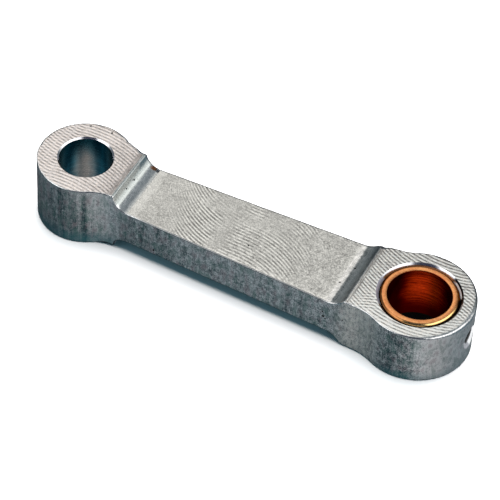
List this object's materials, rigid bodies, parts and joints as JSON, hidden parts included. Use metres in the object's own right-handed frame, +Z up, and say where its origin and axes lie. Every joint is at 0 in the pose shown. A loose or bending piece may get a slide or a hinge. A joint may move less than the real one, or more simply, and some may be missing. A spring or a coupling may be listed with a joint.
{
  "type": "connecting rod",
  "caption": "Flat milled aluminium connecting rod for a small engine: plain bore at the small end, bronze-bushed bore with an oil hole at the big end.",
  "frame": {"origin": "bottom centre of the bounding box: under the middle of the rod's length, level with the underside of the small end", "axes": "+X along the rod from the small end to the big end, +Z up along both bores, +Y across the rod"},
  "size_m": [0.0524, 0.0124, 0.008],
  "materials": {
    "aluminium": "as milled, with fine cutter marks on its flat faces",
    "bronze": "turned bronze, with fine rings in its bore"
  },
  "bodies": {
    "root": {"rod_body": "aluminium", "big_end_bush": "bronze"}
  },
  "joints": []
}
